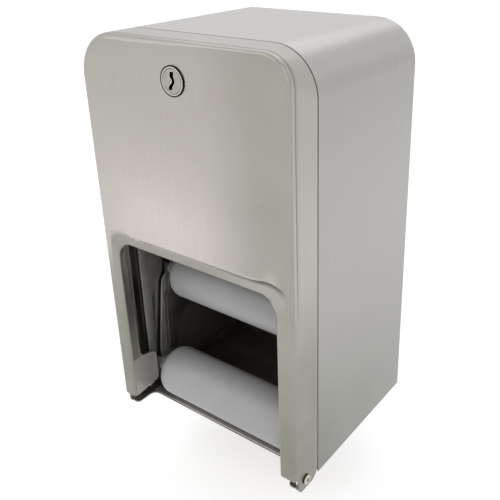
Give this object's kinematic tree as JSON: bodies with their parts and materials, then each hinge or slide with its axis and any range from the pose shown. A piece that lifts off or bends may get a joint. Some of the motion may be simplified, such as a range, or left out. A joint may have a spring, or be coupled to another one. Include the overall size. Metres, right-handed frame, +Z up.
{
  "type": "double roll toilet paper dispenser",
  "caption": "Wall mounted dispenser for two toilet paper rolls, with a hinged front door, a lock and a drop-down reserve spindle.",
  "frame": {"origin": "centre of the back plate's wall face", "axes": "+Y into the wall, +Z up, +X to the right as seen from the front"},
  "size_m": [0.1586, 0.1362, 0.274],
  "materials": {
    "cabinet_steel": "satin",
    "door_steel": "satin",
    "inner_steel": "satin",
    "lever_steel": "satin",
    "rivet_steel": "smooth",
    "lock_metal": "satin",
    "spindle_plastic": "satin moulded plastic"
  },
  "bodies": {
    "cabinet": {"cabinet_shell": "cabinet_steel", "back_plate": "inner_steel", "base_floor": "inner_steel", "latch_strike": "inner_steel", "left_track_plate": "inner_steel", "right_track_plate": "inner_steel", "left_lever_rivet": "rivet_steel", "right_lever_rivet": "rivet_steel", "left_hinge_rivet": "rivet_steel", "right_hinge_rivet": "rivet_steel", "lower_left_track_rivet": "rivet_steel", "lower_right_track_rivet": "rivet_steel", "upper_left_track_rivet": "rivet_steel", "upper_right_track_rivet": "rivet_steel"},
    "door": {"door_panel": "door_steel", "lock_barrel": "lock_metal", "lock_washer": "rivet_steel", "lock_nut": "rivet_steel"},
    "lock": {"lock_plug": "lock_metal", "lock_cam": "rivet_steel", "cam_screw": "rivet_steel"},
    "release_levers": {"left_release_lever": "lever_steel", "right_release_lever": "lever_steel", "release_bar": "rivet_steel"},
    "reserve_roller": {"reserve_spindle": "spindle_plastic"},
    "lower_roller": {"lower_spindle": "spindle_plastic"}
  },
  "joints": [
    {"name": "door_hinge", "type": "hinge", "parent": "cabinet", "child": "door", "pos_m": [0, -0.1235, -0.131], "axis": [1, 0, 0], "range_deg": [0, 95]},
    {"name": "lock_turn", "type": "hinge", "parent": "door", "child": "lock", "pos_m": [0, -0.135, 0.1145], "axis": [0, -1, 0], "range_deg": [0, 90]},
    {"name": "lever_swing", "type": "hinge", "parent": "cabinet", "child": "release_levers", "pos_m": [0, -0.0607, -0.0763], "axis": [1, 0, 0], "range_deg": [0, 32.8]},
    {"name": "reserve_spin", "type": "hinge", "parent": "release_levers", "child": "reserve_roller", "pos_m": [0, -0.084, -0.0418], "axis": [1, 0, 0], "continuous": true},
    {"name": "lower_spin", "type": "hinge", "parent": "cabinet", "child": "lower_roller", "pos_m": [0, -0.1015, -0.116], "axis": [1, 0, 0], "continuous": true}
  ]
}
